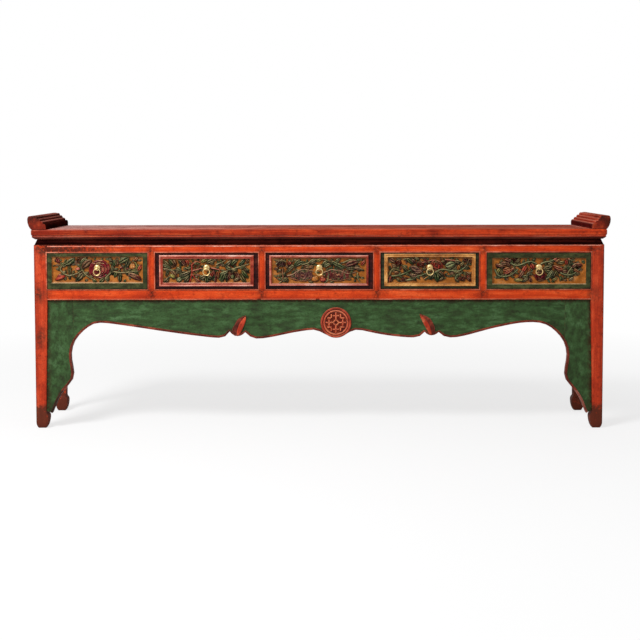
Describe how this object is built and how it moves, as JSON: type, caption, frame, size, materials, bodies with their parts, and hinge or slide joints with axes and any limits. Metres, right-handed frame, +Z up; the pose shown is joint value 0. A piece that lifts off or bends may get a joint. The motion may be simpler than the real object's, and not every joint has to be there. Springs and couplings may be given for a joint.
{
  "type": "altar console table",
  "caption": "Long, narrow wooden altar table with upturned reeded ends, a row of carved drawers with ring pulls, a shaped green apron and hoof feet.",
  "frame": {"origin": "on the floor, under the centre of the table's bounding box, pulls included", "axes": "+X along the table to the right as seen from the front, +Y to the back, +Z up"},
  "size_m": [2.2822, 0.4045, 0.8408],
  "materials": {
    "red_lacquer": "worn vermilion lacquer over brush-marked ground",
    "dark_red_lacquer": "worn dark red lacquer",
    "green_paint": "worn dark green paint",
    "gold_paint": "worn ochre and gold paint",
    "bare_wood": "bare aged softwood",
    "brass": "rubbed pale brass"
  },
  "bodies": {
    "frame": {"leg_front_left": "red_lacquer", "leg_back_left": "red_lacquer", "leg_front_right": "red_lacquer", "leg_back_right": "red_lacquer", "divider_1": "red_lacquer", "divider_2": "red_lacquer", "divider_3": "red_lacquer", "divider_4": "red_lacquer", "lower_front_rail": "red_lacquer", "upper_front_rail": "red_lacquer", "lower_back_rail": "red_lacquer", "upper_back_rail": "red_lacquer", "upper_side_rail_left": "red_lacquer", "lower_side_rail_left": "red_lacquer", "side_panel_left": "red_lacquer", "side_apron_left": "green_paint", "upper_side_rail_right": "red_lacquer", "lower_side_rail_right": "red_lacquer", "side_panel_right": "red_lacquer", "side_apron_right": "green_paint", "back_panel": "bare_wood", "dust_board": "bare_wood", "waist_front": "dark_red_lacquer", "waist_left": "dark_red_lacquer", "waist_right": "dark_red_lacquer", "top_front_member": "dark_red_lacquer", "top_back_member": "dark_red_lacquer", "top_left_member": "dark_red_lacquer", "top_right_member": "dark_red_lacquer", "top_panel": "dark_red_lacquer", "end_flange_left": "dark_red_lacquer", "end_flange_right": "dark_red_lacquer", "front_apron": "green_paint", "apron_bracket_left": "green_paint", "apron_bracket_right": "green_paint"},
    "drawer_1": {"drawer_1_front": "green_paint", "drawer_1_box": "bare_wood", "drawer_1_bottom": "bare_wood", "drawer_1_stud": "brass"},
    "drawer_2": {"drawer_2_front": "dark_red_lacquer", "drawer_2_box": "bare_wood", "drawer_2_bottom": "bare_wood", "drawer_2_stud": "brass"},
    "drawer_3": {"drawer_3_front": "dark_red_lacquer", "drawer_3_box": "bare_wood", "drawer_3_bottom": "bare_wood", "drawer_3_stud": "brass"},
    "drawer_4": {"drawer_4_front": "gold_paint", "drawer_4_box": "bare_wood", "drawer_4_bottom": "bare_wood", "drawer_4_stud": "brass"},
    "drawer_5": {"drawer_5_front": "green_paint", "drawer_5_box": "bare_wood", "drawer_5_bottom": "bare_wood", "drawer_5_stud": "brass"},
    "ring_1": {"drawer_1_ring": "brass"},
    "ring_2": {"drawer_2_ring": "brass"},
    "ring_3": {"drawer_3_ring": "brass"},
    "ring_4": {"drawer_4_ring": "brass"},
    "ring_5": {"drawer_5_ring": "brass"}
  },
  "joints": [
    {"name": "drawer_1_slide", "type": "slide", "parent": "frame", "child": "drawer_1", "axis": [0, -1, 0], "range_m": [0, 0.25]},
    {"name": "drawer_2_slide", "type": "slide", "parent": "frame", "child": "drawer_2", "axis": [0, -1, 0], "range_m": [0, 0.25]},
    {"name": "drawer_3_slide", "type": "slide", "parent": "frame", "child": "drawer_3", "axis": [0, -1, 0], "range_m": [0, 0.25]},
    {"name": "drawer_4_slide", "type": "slide", "parent": "frame", "child": "drawer_4", "axis": [0, -1, 0], "range_m": [0, 0.25]},
    {"name": "drawer_5_slide", "type": "slide", "parent": "frame", "child": "drawer_5", "axis": [0, -1, 0], "range_m": [0, 0.25]},
    {"name": "ring_1_swing", "type": "hinge", "parent": "drawer_1", "child": "ring_1", "pos_m": [-0.87, -0.1977, 0.6335], "axis": [-1, 0, 0], "range_deg": [0, 160]},
    {"name": "ring_2_swing", "type": "hinge", "parent": "drawer_2", "child": "ring_2", "pos_m": [-0.44025, -0.1977, 0.6335], "axis": [-1, 0, 0], "range_deg": [0, 160]},
    {"name": "ring_3_swing", "type": "hinge", "parent": "drawer_3", "child": "ring_3", "pos_m": [0.0025, -0.1977, 0.6335], "axis": [-1, 0, 0], "range_deg": [0, 160]},
    {"name": "ring_4_swing", "type": "hinge", "parent": "drawer_4", "child": "ring_4", "pos_m": [0.43625, -0.1977, 0.6335], "axis": [-1, 0, 0], "range_deg": [0, 160]},
    {"name": "ring_5_swing", "type": "hinge", "parent": "drawer_5", "child": "ring_5", "pos_m": [0.8635, -0.1977, 0.6335], "axis": [-1, 0, 0], "range_deg": [0, 160]}
  ]
}
